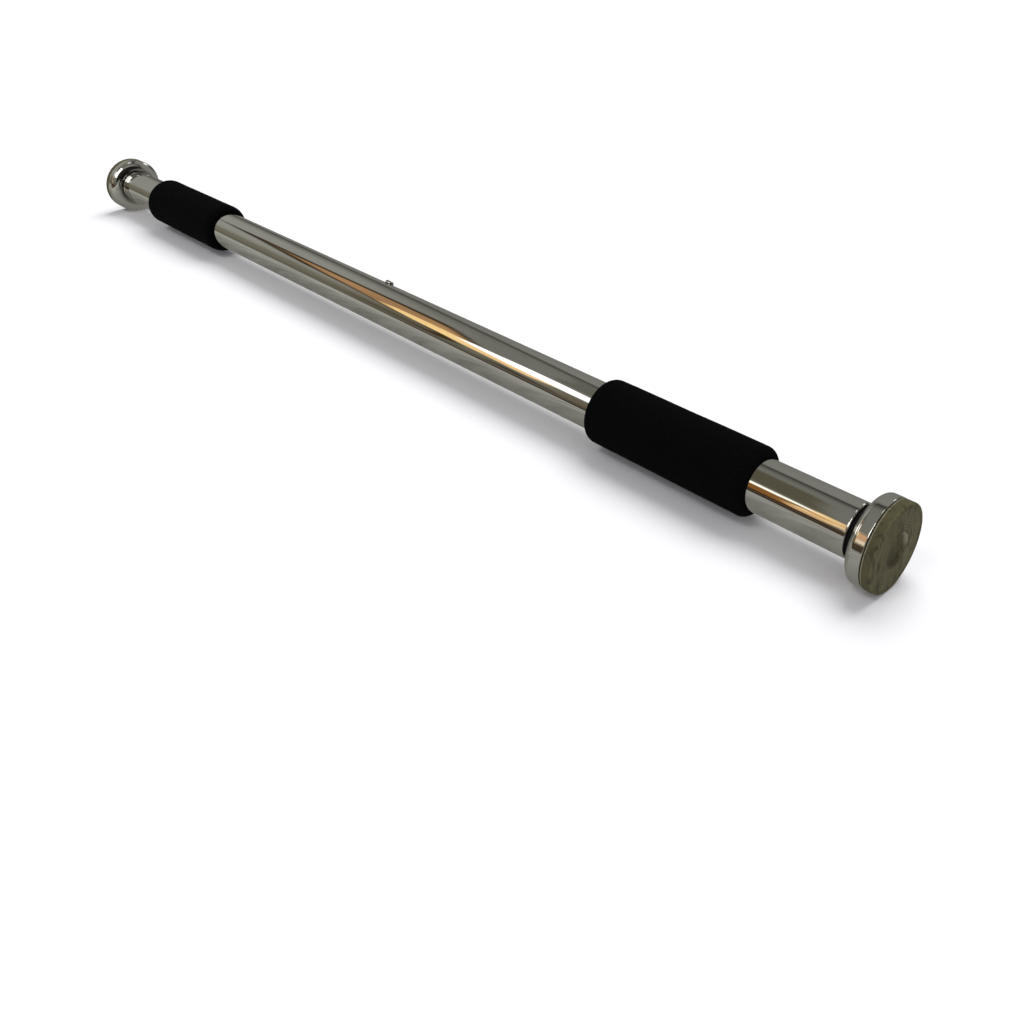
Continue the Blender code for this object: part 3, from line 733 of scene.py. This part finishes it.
def floor(level):
    """A plain white floor. In mirrors it glows as a streaky grey cloth with a painted shadow beneath the bar,
    with a dark carpet in front of it.
    """
    shape = bmesh.new()
    bmesh.ops.create_circle(shape, cap_ends=True, segments=96, radius=FLOOR_RADIUS)
    mesh = bpy.data.meshes.new("floor")
    shape.to_mesh(mesh)
    shape.free()
    ground = bpy.data.objects.new("floor", mesh)
    ground.location.z = level
    bpy.context.scene.collection.objects.link(ground)
    material, nodes, shader = surface("floor", Roughness=1.0, Specular_IOR_Level=0.0)
    shader.inputs["Base Color"].default_value = (0.93, 0.93, 0.94, 1)
    spot = nodes.split(nodes.where())
    # the cloth: a painted shadow beneath the bar, dimmer behind it, and a little lighter towards the left
    cloth = nodes.mix(nodes.ramp(spot["X"], -0.15, 0.20), mirrored(164, 163, 157), mirrored(148, 147, 141))
    under = nodes.ramp(nodes.math("ABSOLUTE", spot["Y"]), 0.0, 0.10)
    cloth = nodes.mix(under, mirrored(118, 117, 111), cloth)
    cloth = nodes.mix(nodes.ramp(spot["Y"], 0.02, 0.08), cloth, mirrored(122, 121, 117))
    streak = nodes.ramp(nodes.grain(26, (2.2, 0.5, 1), detail=6, roughness=0.62), 0.32, 0.66, 0.55, 0.0)
    cloth = nodes.mix(streak, cloth, mirrored(92, 90, 84))
    # the carpet, which is brown in the middle and grey towards the ends
    carpet = nodes.mix(nodes.ramp(nodes.math("ABSOLUTE", spot["X"]), 0.1, 0.7),
                       mirrored(50, 36, 22), mirrored(98, 95, 84))
    shown = nodes.mix(nodes.ramp(spot["Y"], -0.23, -0.16), carpet, cloth)
    # in mirrors the floor glows with this painted tone, not with the light that falls on it
    shown = nodes.add("ShaderNodeEmission", Color=shown).outputs[0]
    in_mirror = nodes.add("ShaderNodeLightPath").outputs["Is Glossy Ray"]
    both = nodes.add("ShaderNodeMixShader", i0=in_mirror, i1=shader.outputs[0], i2=shown)
    nodes.put(material.node_tree.nodes["Material Output"], "Surface", both.outputs[0])
    ground.data.materials.append(material)


def soft_light(name, towards, strength, degrees):
    """A broad soft light from far off, which lights the bar and the floor but isn't seen in mirrors."""
    lamp = bpy.data.lights.new(name, "SUN")
    lamp.energy = strength
    lamp.angle = math.radians(degrees)
    light = bpy.data.objects.new(name, lamp)
    light.rotation_euler = Vector(towards).to_track_quat("Z", "Y").to_euler()
    light.visible_camera = False
    light.visible_glossy = False
    bpy.context.scene.collection.objects.link(light)


def camera():
    """The camera, a little above the bar and near its right-hand end."""
    lens = bpy.data.cameras.new("camera")
    lens.lens = LENS
    lens.sensor_width = 36
    lens.shift_x, lens.shift_y = LENS_SHIFT
    lens.clip_start = 0.01
    lens.clip_end = 100
    thing = bpy.data.objects.new("camera", lens)
    thing.location = CAMERA_PLACE
    thing.rotation_euler = [math.radians(angle) for angle in CAMERA_TURN]
    bpy.context.scene.collection.objects.link(thing)
    bpy.context.scene.camera = thing


def build():
    """Every piece, its material, and what stands round it."""
    bright, shaped = chrome("chrome drawn"), chrome("chrome pressed", drawn=False)
    black, olive, sponge = nylon("black nylon"), rubber("olive rubber"), foam("black foam")
    steel = metal("plain steel", (0.42, 0.41, 0.40, 1), (0.30, 0.29, 0.27, 1), 0.38, (6, 1, 1))
    zinc = metal("zinc plate", (0.42, 0.42, 0.40, 1), (0.28, 0.28, 0.27, 1), 0.30, (1, 1, 1))
    tube(bright)
    screw(zinc)
    for name, side in SIDES:
        grip(name, side, sponge)
        bush(name, side, black)
        stem(name, side, bright)
        collar(name, side, shaped)
        cup(name, side, shaped)
        pad(name, side, olive)
    inner_pieces(steel, zinc, black)
    world()
    floor(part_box("end_cup_right")[0].z)
    for name, light in LIGHTS.items():
        soft_light(name, *light)
    camera()
    bpy.context.scene.view_settings.view_transform = "Standard"


build()
